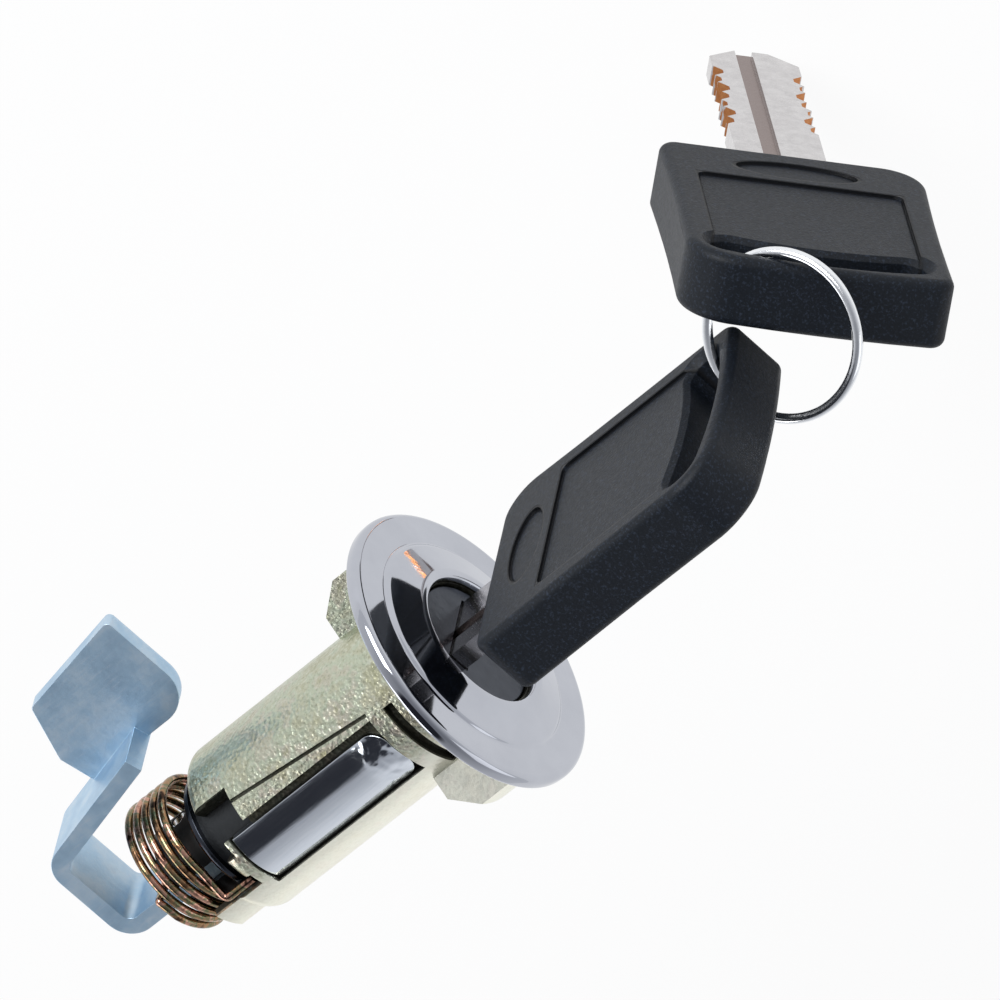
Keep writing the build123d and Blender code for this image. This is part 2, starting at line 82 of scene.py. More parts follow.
# %% Numbers that leave a node
class Value:
    """An output socket among some nodes, for use in expressions."""

    def __init__(self, nodes, socket):
        self.nodes = nodes
        self.socket = socket

    def math(self, operation, *values):
        """Adds one Math node that works on these values."""
        return self.nodes.node("ShaderNodeMath", {"operation": operation}, dict(enumerate(values)))

    def __add__(self, other):
        return self.math("ADD", self, other)

    def __sub__(self, other):
        return self.math("SUBTRACT", self, other)

    def __rsub__(self, other):
        return self.math("SUBTRACT", other, self)

    def __mul__(self, other):
        return self.math("MULTIPLY", self, other)

    def __truediv__(self, other):
        return self.math("DIVIDE", self, other)

    __radd__ = __add__
    __rmul__ = __mul__

    def __abs__(self):
        return self.math("ABSOLUTE", self)

    def power(self, exponent):
        return self.math("POWER", self, exponent)

    def at_least(self, other):
        return self.math("MAXIMUM", self, other)

    def rise(self, low, high):
        """Goes from 0 at low to 1 at high, and stays there."""
        settings = {"interpolation_type": "SMOOTHSTEP", "clamp": True}
        return self.nodes.node("ShaderNodeMapRange", settings, {0: self, 1: low, 2: high})


# %% [markdown]
# Materials and the world both hold a tree of nodes. One method adds any node to it: first its
# settings, because some of them change which sockets it has, then the values or the links of
# its sockets.


# %% Adding nodes
class Nodes:
    """The nodes of one material or world."""

    def __init__(self, tree):
        self.tree = tree

    def node(self, kind, settings=None, sockets=None, output=0):
        """Adds a node and returns one of its outputs."""
        made = self.tree.nodes.new(kind)
        for label, value in (settings or {}).items():
            if label == "stops":
                fill_ramp(made.color_ramp, value)
            else:
                setattr(made, label, value)
        for key, value in (sockets or {}).items():
            self.feed(made.inputs[key], value)
        return Value(self, made.outputs[output])

    def feed(self, socket, value):
        """Links a value to a socket, or writes a plain number or colour into it."""
        if isinstance(value, Value):
            self.tree.links.new(value.socket, socket)
        else:
            socket.default_value = value

    def dot(self, place, direction):
        """How far a vector reaches along a direction."""
        settings = {"operation": "DOT_PRODUCT"}
        return self.node("ShaderNodeVectorMath", settings, {0: place, 1: tuple(direction)}, "Value")

    def blend(self, share, first, second):
        """From the first colour to the second as the share goes from 0 to 1."""
        first, second = (c if isinstance(c, Value) else (*c, 1.0) for c in (first, second))
        return self.node("ShaderNodeMix", {"data_type": "RGBA"}, {0: share, 6: first, 7: second}, 2)

    def ramp(self, share, *stops):
        """A colour for each share, from stops of a place and a colour."""
        return self.node("ShaderNodeValToRGB", {"stops": stops}, {0: share})


def fill_ramp(ramp, stops):
    while len(ramp.elements) < len(stops):
        ramp.elements.new(0.5)
    for element, (place, colour) in zip(ramp.elements, stops):
        element.position = place
        element.color = (*colour, 1.0)


# %% [markdown]
# Every finish here is one Principled shader. What is the same all over the surface is written
# on the shader's own sockets, and what varies is built from the place on the object. The
# place is read in object coordinates, so that the pattern stays on the part as it moves.


# %% One finish
class Finish(Nodes):
    """A material built round one Principled shader, whose plain sockets are set by name."""

    def __init__(self, name, **plain):
        self.material = bpy.data.materials.new(name)
        self.material.use_nodes = True
        super().__init__(self.material.node_tree)
        self.shader = self.tree.nodes["Principled BSDF"]
        for label, value in plain.items():
            self.shader.inputs[label.replace("_", " ")].default_value = value
        in_metres = self.node("ShaderNodeTexCoord", output="Object")
        sockets = {0: in_metres, "Scale": 1 / MM}
        self.place = self.node("ShaderNodeVectorMath", {"operation": "SCALE"}, sockets)

    def set(self, label, value):
        self.feed(self.shader.inputs[label], value)

    def axis(self, name):
        """One coordinate of the place, in millimetres."""
        return self.node("ShaderNodeSeparateXYZ", None, {0: self.place}, name)

    def measured(self, origin, direction):
        """How far the place lies from an origin along a direction, in millimetres."""
        return self.dot(self.place, direction) - Vector(origin).dot(Vector(direction))

    def stretched(self, scale):
        """The place with each axis scaled, for streaks along one of them."""
        return self.node("ShaderNodeVectorMath", {"operation": "MULTIPLY"}, {0: self.place, 1: scale})

    def noise(self, size, detail=2.0, rough=0.5, where=None):
        """Soft noise from 0 to 1, whose blotches are about this many millimetres across."""
        sockets = {"Vector": where or self.place, "Scale": 1 / size, "Detail": detail, "Roughness": rough}
        return self.node("ShaderNodeTexNoise", None, sockets)

    def cells(self, size):
        """Distance to the nearest of many scattered points, this many millimetres apart."""
        return self.node("ShaderNodeTexVoronoi", None, {"Vector": self.place, "Scale": 1 / size})

    def bump(self, height, depth):
        """A normal from a height of 0 to 1 that stands for this depth in millimetres."""
        return self.node("ShaderNodeBump", None, {"Distance": depth * MM, "Height": height})


finishes = {}


def keep(label, finish):
    """Files a finish under the name by which its pieces ask for it."""
    finishes[label] = finish.material
    print("finish", label, "has", len(finish.tree.nodes), "nodes")


# %% [markdown]
# Colours are written as they would be read off a screen, and turned into the linear values
# that the shaders use.


# %% Colours
def screen(red, green, blue):
    """A screen colour of 0 to 255 as the linear colour that a shader takes."""
    shares = (channel / 255 for channel in (red, green, blue))
    return tuple(s / 12.92 if s <= 0.04045 else ((s + 0.055) / 1.055) ** 2.4 for s in shares)


# %% [markdown]
# The housing is die-cast zinc with a yellow chromate. The casting's skin is finely hammered,
# and the chromate shimmers from olive to green and pink as its film gets thicker or thinner.
# Painted pictures could show that, but they would blur close up. Noise in two sizes gives the
# same play of colour at any distance, and small cells make the hammered skin. One side is
# painted paler, a painted reflection, and its skin is smoother. The other side is blended to a
# darker olive, partly the film's own colour and partly painted shade. What lies under the
# barrel's surface, in the cuts in the wall, is painted dark as painted shade.

# %% Finish of the housing
BARREL_RADIUS = 8.85
REAR_ROUND_START, REAR_ROUND_END = 29.5, 30.2
REAR_ROUND_DEPTH = 0.45


def housing_finish():
    finish = Finish("chromated_casting", Metallic=1.0)
    across = finish.axis("X")
    film = finish.noise(3.4, 4.0, 0.62)
    colour = finish.ramp(
        film,
        (0.30, screen(190, 184, 150)),
        (0.43, screen(212, 208, 184)),
        (0.52, screen(206, 212, 190)),
        (0.60, screen(216, 206, 190)),
        (0.72, screen(184, 178, 140)),
    )
    speck = finish.noise(0.42, 2.0, 0.7)
    colour = finish.blend(speck.rise(0.54, 0.68) * 0.5, colour, screen(244, 243, 230))
    colour = finish.blend((1 - speck.rise(0.32, 0.46)) * 0.5, colour, screen(132, 126, 100))
    # painted reflection: the side towards -X is painted paler
    painted_sheen_side = 1 - across.rise(-4.0, -1.0)
    colour = finish.blend(painted_sheen_side * 0.75, colour, screen(250, 249, 236))
    # partly the chromate's olive and partly painted shade: the side towards +X is blended darker
    olive_and_shade_side = across.rise(1.5, 7.5)
    colour = finish.blend(olive_and_shade_side * 0.4, colour, screen(146, 160, 142))

    # painted shade: what lies below the barrel's surface, in the cuts in the wall, is painted near black;
    # the rounded rear corner is left out
    from_axis = (across.power(2) + finish.axis("Z").power(2)).power(0.5)
    rear_corner = finish.axis("Y").rise(REAR_ROUND_START, REAR_ROUND_END) * REAR_ROUND_DEPTH
    painted_recess_shade = 1 - (from_axis + rear_corner).rise(BARREL_RADIUS - 0.4, BARREL_RADIUS - 0.1)
    colour = finish.blend(painted_recess_shade * 0.92, colour, screen(24, 24, 20))
    finish.set("Base Color", colour)
    finish.set("Roughness", finish.noise(1.2, 2.0) * 0.16 + painted_recess_shade * 0.2 + 0.24)

    hammered = across.rise(-4.5, 1.0) * 0.75 + 0.25
    skin = (finish.cells(0.5) * 0.8 + finish.noise(0.32, 2.0) * 0.6) * hammered
    finish.set("Normal", finish.bump(skin, 0.085))
    return finish


keep("housing", housing_finish())

# %% [markdown]
# The bezel is chromed sheet, polished to a mirror. A mirror without any unevenness looks
# unreal, so very faint wiping marks change its roughness, and a wide, very shallow wave bends
# what it reflects.


# %% Finish of the chrome
def chrome_finish():
    finish = Finish("polished_chrome", Metallic=1.0)
    haze = finish.noise(6.0, 3.0, 0.6)
    finish.set("Base Color", finish.blend(haze, screen(176, 179, 188), screen(194, 197, 205)))
    wiped = finish.noise(0.8, 3.0, 0.7, finish.stretched((1.0, 1.0, 0.15)))
    finish.set("Roughness", wiped.rise(0.45, 0.8) * 0.05 + 0.05)
    finish.set("Normal", finish.bump(finish.noise(5.0, 1.0), 0.01))
    return finish


keep("chrome", chrome_finish())

# %% [markdown]
# The cap over the plug's face, deep in the bezel's opening, and the washer at the rear get a
# darker, rougher metal than the bezel. The dark is partly the metal's own colour and partly painted shade.


# %% Finish of the plug's cap and the washer
def shaded_cap_finish():
    finish = Finish("shade_darkened_cap", Metallic=1.0)
    # partly painted shade: the metal is made dark as the shade that lies on both parts
    metal = finish.blend(finish.noise(2.0, 3.0), screen(48, 52, 60), screen(74, 78, 86))
    finish.set("Base Color", metal)
    finish.set("Roughness", finish.noise(0.6, 3.0) * 0.16 + 0.16)
    finish.set("Normal", finish.bump(finish.noise(1.0), 0.02))
    return finish


keep("cap", shaded_cap_finish())

# %% [markdown]
# The cover strip and the pin of the lever are bright rolled steel. Rolling leaves fine lines
# along the sheet, so one noise is stretched along the lock axis. Handling leaves shallow
# dents: the strip is dimpled at its front end only, so that noise fades out behind it.

# %% Finish of the bright steel
DIMPLES_FADE_FROM, DIMPLES_FADE_TO = 10.5, 13.0


def steel_finish():
    finish = Finish("bright_rolled_steel", Metallic=1.0)
    lines = finish.noise(0.25, 2.0, 0.6, finish.stretched((1.0, 0.06, 1.0)))
    finish.set("Base Color", finish.blend(lines, screen(222, 230, 240), screen(240, 244, 250)))
    finish.set("Roughness", lines * 0.08 + 0.07)
    dimpled = 1 - finish.axis("Y").rise(DIMPLES_FADE_FROM, DIMPLES_FADE_TO)
    dents = finish.noise(5.0, 1.0) * 0.15 + finish.noise(1.7, 1.0) * dimpled
    finish.set("Normal", finish.bump(dents + lines * 0.02, 0.32))
    return finish


keep("steel", steel_finish())

# %% [markdown]
# The plug is plain die-cast zinc, grey and slightly dull. Its rear boss, seen through the coils
# of the spring, is painted dark as painted shade.

# %% Finish of the plug
REAR_SHADE_FROM, REAR_SHADE_TO = 24.0, 27.0


def zinc_finish():
    finish = Finish("plain_zinc", Metallic=1.0)
    grey = finish.blend(finish.noise(1.5, 3.0), screen(150, 152, 156), screen(184, 185, 186))
    # painted shade: the plug is painted dark from here to its rear
    painted_rear_shade = finish.axis("Y").rise(REAR_SHADE_FROM, REAR_SHADE_TO)
    finish.set("Base Color", finish.blend(painted_rear_shade, grey, screen(62, 64, 66)))
    finish.set("Roughness", finish.noise(0.6) * 0.15 + 0.35)
    finish.set("Normal", finish.bump(finish.noise(0.25), 0.02))
    return finish


keep("zinc", zinc_finish())

# %% [markdown]
# The spring's wire is chromated like the housing, but its film is thicker: copper, gold,
# green and pink lie side by side along the turns. A ramp over one noise brings these colours
# next to each other, as the film does, and a low roughness gives the wire its bright lines of
# light. The circlip and the wafer springs get the same finish.


# %% Finish of the spring wire
def wire_finish():
    finish = Finish("chromated_wire", Metallic=1.0)
    film = finish.noise(2.2, 3.0, 0.6)
    colour = finish.ramp(
        film,
        (0.34, screen(60, 44, 34)),
        (0.43, screen(164, 128, 96)),
        (0.50, screen(106, 114, 86)),
        (0.57, screen(204, 156, 136)),
        (0.66, screen(70, 50, 40)),
    )
    finish.set("Base Color", colour)
    finish.set("Roughness", finish.noise(0.7) * 0.10 + 0.09)
    finish.set("Normal", finish.bump(finish.noise(0.35), 0.015))
    return finish


keep("wire", wire_finish())

# %% [markdown]
# The lever is stamped steel with a blue zinc plating: satin, pale blue, a little cloudy, with
# faint draw lines. The clouds and the lines both reach the roughness, because a plating that
# is only coloured unevenly looks painted.


# %% Finish of the lever
def lever_finish():
    finish = Finish("blue_zinc_plating", Metallic=1.0)
    cloud = finish.noise(4.5, 4.0, 0.6)
    colour = finish.ramp(
        cloud,
        (0.30, screen(162, 190, 214)),
        (0.48, screen(176, 204, 226)),
        (0.62, screen(194, 214, 230)),
        (0.75, screen(170, 198, 220)),
    )
    scratches = finish.noise(0.30, 3.0, 0.7, finish.stretched((1.0, 0.10, 1.0)))
    colour = finish.blend(scratches.rise(0.5, 0.7) * 0.35, colour, screen(206, 216, 228))
    finish.set("Base Color", colour)
    finish.set("Roughness", scratches * 0.16 + cloud * 0.1 + 0.30)
    finish.set("Normal", finish.bump(scratches * 0.4 + finish.noise(0.5) * 0.6, 0.025))
    return finish


keep("lever", lever_finish())

# %% [markdown]
# The two keys are twins, but they point in different directions. Their finishes follow the
# key and not the room, so they are told where a key's head ends and its blade starts, which
# way the head lies from there, and which way the key is thin. One key stands in the lock, and
# its head lies straight along the lock axis. The spare hangs on the ring, turned as the
# construction has it.

# %% Places of the keys
key_origin = Vector((1.4, -9.2, 0.0))
key_headwards = Vector((0, -1, 0))
key_thin_way = Vector((1, 0, 0))
spare_origin = Vector((1.675, -41.309, -41.945))
spare_headwards = Vector((0.00896, -0.3039, 0.95266))
spare_thin_way = Vector((0.57164, -0.78012, -0.25423))
print("the spare key is turned by", round(math.degrees(key_headwards.angle(spare_headwards))), "degrees")

# %% [markdown]
# The heads are moulded in black plastic with a fine spark-eroded grain. The pale specks of
# light that the grain scatters are painted into the colour, as painted glints. The panel and
# the oval mark are shallow recesses in the solid already. On the real head a thin dark line, the
# shade at the recess's edge, runs round each, so the finish paints such a line dark as painted
# shade and sinks it. Inside the panel the grain is rougher.

# %% Finish of the key heads
PANEL_WIDTH = 21.0
PANEL_LENGTH = 19.7
PANEL_START = 8.7
PANEL_MIDDLE = PANEL_START + PANEL_LENGTH / 2
MARK_WIDTH = 12.5
MARK_HEIGHT = 4.4
MARK_PLACE = 5.3


def plastic_finish(name, origin, headwards, thin_way):
    finish = Finish(name, Metallic=0.0, IOR=1.5, Specular_IOR_Level=0.22)
    across_head = finish.measured(origin, headwards.cross(thin_way))
    along_head = finish.measured(origin, headwards)

    past_sides = abs(across_head) - PANEL_WIDTH / 2
    past_ends = abs(along_head - PANEL_MIDDLE) - PANEL_LENGTH / 2
    beyond_panel = past_sides.at_least(past_ends)
    panel_edge_shade = 1 - abs(beyond_panel).rise(0.05, 0.28)
    in_panel = 1 - beyond_panel.rise(-0.2, 0.1)

    mark_across = (across_head / (MARK_WIDTH / 2)).power(2)
    mark_along = ((along_head - MARK_PLACE) / (MARK_HEIGHT / 2)).power(2)
    mark_edge_shade = 1 - abs((mark_across + mark_along).power(0.5) - 1).rise(0.02, 0.09)
    lines = panel_edge_shade.at_least(mark_edge_shade)

    # painted glints: pale specks in the base colour stand for light scattered by the grain
    speck = finish.noise(0.30, 2.0, 0.7)
    base = finish.blend(speck.rise(0.50, 0.75), screen(17, 22, 29), screen(40, 48, 61))
    # painted shade: the thin line round the panel and the mark is painted near black
    finish.set("Base Color", finish.blend(lines * 0.85, base, screen(6, 7, 9)))
    finish.set("Roughness", finish.noise(0.5) * 0.16 + 0.42)
    grain = finish.noise(0.22, 2.0, 0.65) * (in_panel * 0.5 + 0.5) - lines
    finish.set("Normal", finish.bump(grain, 0.07))
    return finish


keep("key_head", plastic_finish("grained_key_head", key_origin, key_headwards, key_thin_way))
keep("spare_key_head", plastic_finish("grained_spare_head", spare_origin, spare_headwards, spare_thin_way))

# %% [markdown]
# The blades are brass under nickel. The cuts are milled after plating, so bare brass shows in
# them, reddish and torn, while the faces stay silvery. The normal tells a cut from a face: on
# a face it points the way the key is thin. Bare brass is painted only between the floor of
# the deepest cut and the blade's straight edge, and only past the neck by the head.

# %% Finish of the blades
CUT_FLOOR_FROM, CUT_FLOOR_TO = 2.9, 3.2
BLADE_EDGE_FROM, BLADE_EDGE_TO = 4.75, 4.85
NECK_END_FROM, NECK_END_TO = 7.5, 8.5


def blade_finish(name, origin, headwards, thin_way):
    finish = Finish(name, Metallic=1.0)
    normal = finish.node(
        "ShaderNodeVectorTransform",
        {"vector_type": "NORMAL", "convert_from": "WORLD", "convert_to": "OBJECT"},
        {0: finish.node("ShaderNodeNewGeometry", output="Normal")},
    )
    on_face = abs(finish.dot(normal, thin_way))

    from_middle = abs(finish.measured(origin, headwards.cross(thin_way))) + finish.noise(0.8) * 0.5
    beside_cut = (1 - on_face.rise(0.3, 0.7)) * from_middle.rise(CUT_FLOOR_FROM, CUT_FLOOR_TO)
    beside_cut = beside_cut * (1 - from_middle.rise(BLADE_EDGE_FROM, BLADE_EDGE_TO))
    past_neck = finish.measured(origin, -headwards).rise(NECK_END_FROM, NECK_END_TO)

    worn = finish.noise(1.3, 3.0, 0.7)
    silver = finish.blend(worn, screen(178, 175, 176), screen(224, 222, 222))
    # painted shade: the floors of the grooves in the blade's faces are painted darker and browner
    painted_groove_shade = (1 - abs(finish.measured(origin, thin_way)).rise(0.65, 0.85)) * on_face.rise(0.6, 0.8)
    silver = finish.blend(painted_groove_shade, silver, screen(128, 112, 108))
    copper = finish.blend(finish.noise(0.6, 2.0), screen(160, 92, 54), screen(206, 146, 94))
    finish.set("Base Color", finish.blend(beside_cut * past_neck, silver, copper))
    lines = finish.noise(0.25, 2.0, 0.6, finish.stretched((0.2, 1.0, 1.0)))
    finish.set("Roughness", lines * 0.14 + 0.18)
    finish.set("Normal", finish.bump(lines * 0.5 + worn * 0.5, 0.02))
    return finish


keep("key_blade", blade_finish("nickel_key_blade", key_origin, key_headwards, key_thin_way))
keep("spare_key_blade", blade_finish("nickel_spare_blade", spare_origin, spare_headwards, spare_thin_way))

# %% [markdown]
# The key ring is nickel-plated wire and the wafers are stamped brass. Both are plain metals,
# told apart by their colour and by how evenly they shine.


# %% Finishes of the ring and the wafers
def ring_finish():
    finish = Finish("nickel_wire", Metallic=1.0)
    nickel = finish.blend(finish.noise(2.0, 3.0), screen(228, 231, 236), screen(246, 248, 250))
    finish.set("Base Color", nickel)
    finish.set("Roughness", finish.noise(0.5) * 0.08 + 0.10)
    finish.set("Normal", finish.bump(finish.noise(0.6), 0.01))
    return finish


def brass_finish():
    finish = Finish("stamped_brass", Metallic=1.0)
    brass = finish.blend(finish.noise(1.0, 3.0), screen(196, 158, 86), screen(222, 188, 116))
    finish.set("Base Color", brass)
    finish.set("Roughness", finish.noise(0.4) * 0.12 + 0.24)
    finish.set("Normal", finish.bump(finish.noise(0.3), 0.015))
    return finish


keep("ring", ring_finish())
keep("brass", brass_finish())

# %% [markdown]
# Every new piece is drawn in a bmesh, which is Blender's workbench for meshes. Faces are
# shaded smooth, and edges stay sharp where the surface really turns.


# %% Making a piece
def soften_shading(shape, crease=32.0):
    """Smooth faces, with a sharp edge wherever two faces meet at more than this angle."""
    for face in shape.faces:
        face.smooth = True
    for edge in shape.edges:
        edge.smooth = edge.is_manifold and edge.calc_face_angle() < math.radians(crease)


def piece(name, shape, finish, body, node, weighted=True):
    """Turns a bmesh in millimetres into a finished piece that replaces a node."""
    bmesh.ops.scale(shape, vec=(MM, MM, MM), verts=shape.verts)
    mesh = bpy.data.meshes.new(name)
    shape.to_mesh(mesh)
    shape.free()
    made = bpy.data.objects.new(name, mesh)
    bpy.context.scene.collection.objects.link(made)
    mesh.materials.append(finishes[finish])
    if weighted:
        normals = made.modifiers.new("even_normals", "WEIGHTED_NORMAL")
        normals.keep_sharp = True
    if body:
        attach(made, body)
    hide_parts(node)
    print(name, "has", len(mesh.polygons), "faces")
    return made


# %% [markdown]
# The bezel is one sheet: a flat brim, a small step, a shallow cone and the opening, rolled in
# behind the flange. It is a turned shape, so it is made as a lathe would make it. Its section
# is drawn as a few points, the corners of the section are rounded, and the section is spun
# once round the lock axis. A bevel on the finished ring would need far more care at the step.

# %% Turning a section
TURN_STEPS = 160
CORNER_SEGMENTS = 5
WELD = 0.0005


def turned(section):
    """Spins a closed section of (radius, y) points, each with its rounding, round the Y axis."""
    shape = bmesh.new()
    corners = [shape.verts.new((radius, y, 0.0)) for (radius, y), _ in section]
    for first, second in zip(corners, corners[1:] + corners[:1]):
        shape.edges.new((first, second))
    for corner, (_, rounding) in zip(corners, section):
        if rounding:
            bmesh.ops.bevel(
                shape,
                geom=[corner],
                offset=rounding,
                offset_type="OFFSET",
                affect="VERTICES",
                segments=CORNER_SEGMENTS,
                profile=0.5,
                material=-1,
                clamp_overlap=False,
            )
    bmesh.ops.spin(
        shape,
        geom=shape.verts[:] + shape.edges[:],
        cent=(0, 0, 0),
        axis=(0, 1, 0),
        dvec=(0, 0, 0),
        angle=2 * math.pi,
        steps=TURN_STEPS,
        use_merge=True,
        use_duplicate=False,
    )
    bmesh.ops.remove_doubles(shape, verts=shape.verts, dist=WELD)
    bmesh.ops.recalc_face_normals(shape, faces=shape.faces)
    soften_shading(shape, 40.0)
    return shape


# %% [markdown]
# The section runs from the hem behind the flange, round the brim and over the step to the
# opening, and back along the inside of the sheet. Its widest radius is read from the frame.

# %% The bezel
bezel_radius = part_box("bezel")[1].x / MM
sheet = 0.4
hem_width = 1.8
brim_front = -1.6
brim_inside = -1.2
step_radius = 12.0
step_slope = 0.15
step_front = -1.95
step_inside = -1.7
opening_radius = 7.3
rim_width = 0.8
rim_front = -3.0
rim_inside = -2.6
collar_end = -2.3
bezel_section = (
    ((bezel_radius - hem_width, 0.0), 0.1),
    ((bezel_radius, 0.0), 0.38),
    ((bezel_radius, brim_front), 0.75),
    ((step_radius + step_slope, brim_front), 0.22),
    ((step_radius - step_slope, step_front), 0.3),
    ((opening_radius + rim_width, rim_front), 0.35),
    ((opening_radius, rim_front), 0.3),
    ((opening_radius, collar_end), 0.05),
    ((opening_radius + sheet, collar_end), 0.05),
    ((opening_radius + sheet, rim_inside), 0.1),
    ((opening_radius + rim_width, rim_inside), 0.1),
    ((step_radius - sheet, step_inside), 0.0),
    ((step_radius - sheet, brim_inside), 0.0),
    ((bezel_radius - sheet, brim_inside), 0.1),
    ((bezel_radius - sheet, -sheet), 0.1),
    ((bezel_radius - hem_width, -sheet), 0.1),
)
piece("bezel_rolled", turned(bezel_section), "chrome", "housing", "bezel")

# %% [markdown]
# Most parts have the right shape in the frame, but perfectly sharp edges, which no real
# casting or stamping has. Drawing them again would repeat the construction, so a copy of the
# solid's mesh is welded, its flat facets are joined, and its sharp edges get a small round.
# The outline stays the same, and light catches on the edges as on the real part.

# %% A copy with rounded edges
FRAME_WELD = 0.002


def rounded_copy(node, radius, segments=2, crease=28.0, flat=0.6, where=None):
    """A welded copy of a node in millimetres, with its sharp edges rounded by this radius."""
    shape = bmesh.new()
    shape.from_mesh(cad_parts[node].data)
    bmesh.ops.scale(shape, vec=(1 / MM, 1 / MM, 1 / MM), verts=shape.verts)
    bmesh.ops.remove_doubles(shape, verts=shape.verts, dist=FRAME_WELD)
    bmesh.ops.dissolve_limit(
        shape,
        angle_limit=math.radians(flat),
        use_dissolve_boundaries=False,
        verts=shape.verts,
        edges=shape.edges,
        delimit={"NORMAL"},
    )
    limit = math.radians(crease)
    sharp = [e for e in shape.edges if e.is_manifold and e.calc_face_angle() > limit]
    if where:
        sharp = [e for e in sharp if where((e.verts[0].co + e.verts[1].co) / 2)]
    if radius and sharp:
        bmesh.ops.bevel(
            shape,
            geom=sharp,
            offset=radius,
            offset_type="OFFSET",
            affect="EDGES",
            segments=segments,
            profile=0.5,
            material=-1,
            clamp_overlap=True,
            miter_outer="ARC",
        )
    soften_shading(shape)
    return shape


# %% [markdown]
# The inside of the housing stays sharp, because nobody sees it and rounding its grooves for
# the wafers would only add faces.

# %% The housing
BORE_OUTSIDE = 7.3


def outside_bore(middle):
    return math.hypot(middle.x, middle.z) > BORE_OUTSIDE


housing_shape = rounded_copy("housing", 0.16, where=outside_bore)
piece("housing_casting", housing_shape, "housing", "housing", "housing")

# %% [markdown]
# Parts made by different tools have different edges. The strip and the lever are stamped from
# sheet and get the widest round, about 0.3 mm. The cap, the washer and the circlip are thin
# and get far less. The plug is nearly hidden and keeps its edges. A table holds what differs,
# and one loop makes all of them.

# %% The strip, the plug and the lever
ROUNDED_PARTS = (
    ("cover_strip_plate", "cover_strip", 0.3, 3, "steel", "housing", "bright_steel"),
    ("plug_cap_cup", "plug_cap", 0.05, 2, "cap", "plug", "chrome"),
    ("plug_core", "plug", 0.0, 2, "zinc", "plug", "zinc_grey"),
    ("lever_plate", "lever", 0.28, 3, "lever", "plug", "blue_zinc"),
    ("lever_rivet", "lever_pin", 0.2, 3, "steel", "plug", "bright_steel"),
    ("washer", "retaining_washer", 0.06, 2, "cap", "plug", "bright_steel"),
    ("snap_ring", "circlip", 0.08, 2, "wire", "plug", "spring_wire"),
)
for name, node, radius, segments, finish, body, slot in ROUNDED_PARTS:
    piece(name, rounded_copy(node, radius, segments), finish, body, node)

# %% [markdown]
# The return spring is round wire: a leg hooked on the housing's post, five turns, and a leg
# that pushes on the lever. A curve with a round bevel is the simplest way to bend a wire, so
# the path is worked out as points and the curve turned into a mesh, which can be welded and
# shaded like the other pieces.


# %% Bending a wire
def bent_wire(name, points, radius, sides=6):
    """A round wire along a line through these points, as a mesh in millimetres."""
    curve = bpy.data.curves.new(name, "CURVE")
    curve.dimensions = "3D"
    curve.bevel_depth = radius
    curve.bevel_resolution = sides
    curve.use_fill_caps = True
    line = curve.splines.new("POLY")
    line.points.add(len(points) - 1)
    for target, point in zip(line.points, points):
        target.co = (*point, 1.0)
    holder = bpy.data.objects.new(name, curve)
    bpy.context.scene.collection.objects.link(holder)
    bpy.context.view_layer.update()
    mesh = bpy.data.meshes.new_from_object(holder)
    shape = bmesh.new()
    shape.from_mesh(mesh)
    bpy.data.objects.remove(holder)
    bpy.data.meshes.remove(mesh)
    bmesh.ops.remove_doubles(shape, verts=shape.verts, dist=WELD)
    bmesh.ops.recalc_face_normals(shape, faces=shape.faces)
    soften_shading(shape, 50.0)
    return shape


CORNER_STEPS = 8
CORNER_SHARE = 0.45


def rounded_corner(before, corner, after, radius):
    """Points along an arc that rounds a corner, and takes at most a share of either side."""
    to_before = (before - corner).normalized()
    to_after = (after - corner).normalized()
    half = to_before.angle(to_after) / 2
    shorter = min((before - corner).length, (after - corner).length)
    reach = min(radius / math.tan(half), CORNER_SHARE * shorter)
    start, end = corner + to_before * reach, corner + to_after * reach
    points = []
    for step in range(CORNER_STEPS + 1):
        t = step / CORNER_STEPS
        points.append(start * (1 - t) ** 2 + corner * (2 * t * (1 - t)) + end * t**2)
    return points


# %% [markdown]
# The coil's axis lies a little beside the lock axis, as the construction has it. The first
# and last few points of the coil are left out, to make room for the bends into the legs.

# %% The path of the return spring
wire = 0.9
coil_radius = 7.0
coil_offset = 1.2
coil_front = 35.05
coil_rear = 41.21
front_angle = 14.0
rear_angle = 2.7
whole_turns = 5
coil_turns = whole_turns + (front_angle + rear_angle) / 360
coil_steps = 300
steps_left_out = 3


def coil_point(share):
    """A point of the coil's middle line, from the front turn at 0 to the rear one at 1."""
    angle = math.radians(front_angle) - share * coil_turns * 2 * math.pi
    return Vector((
        coil_offset - coil_radius * math.sin(angle),
        coil_front + share * (coil_rear - coil_front),
        coil_radius * math.cos(angle),
    ))


turn_steps = range(steps_left_out, coil_steps - steps_left_out + 1)
turns = [coil_point(step / coil_steps) for step in turn_steps]

front_foot = Vector((-1.984, coil_front, 7.956))
front_toe_end = 31.0
front_toe = Vector((front_foot.x, front_toe_end, front_foot.z))
front_bend = 0.7
rear_end = coil_point(1.0)
knee_reach = 0.3
rear_knee = rear_end + Vector((knee_reach, 0, 0))
rear_leg_length = 5.0
rear_toe = rear_end - Vector((0, 0, rear_leg_length))
rear_bend = 0.4

spring_line = [front_toe]
spring_line += rounded_corner(front_toe, front_foot, turns[0], front_bend)
spring_line += turns
spring_line += rounded_corner(turns[-1], rear_knee, rear_toe, rear_bend)[CORNER_STEPS // 2:]
spring_line += [rear_toe]
wire_length = sum((b - a).length for a, b in zip(spring_line, spring_line[1:]))
print("the spring takes", round(wire_length), "mm of wire")

# %% [markdown]
# The spring belongs to two bodies at once.

# %% The return spring
spring_shape = bent_wire("spring_wire_path", spring_line, wire / 2)
spring = piece("return_spring", spring_shape, "wire", None, "torsion_spring", weighted=False)
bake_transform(spring)

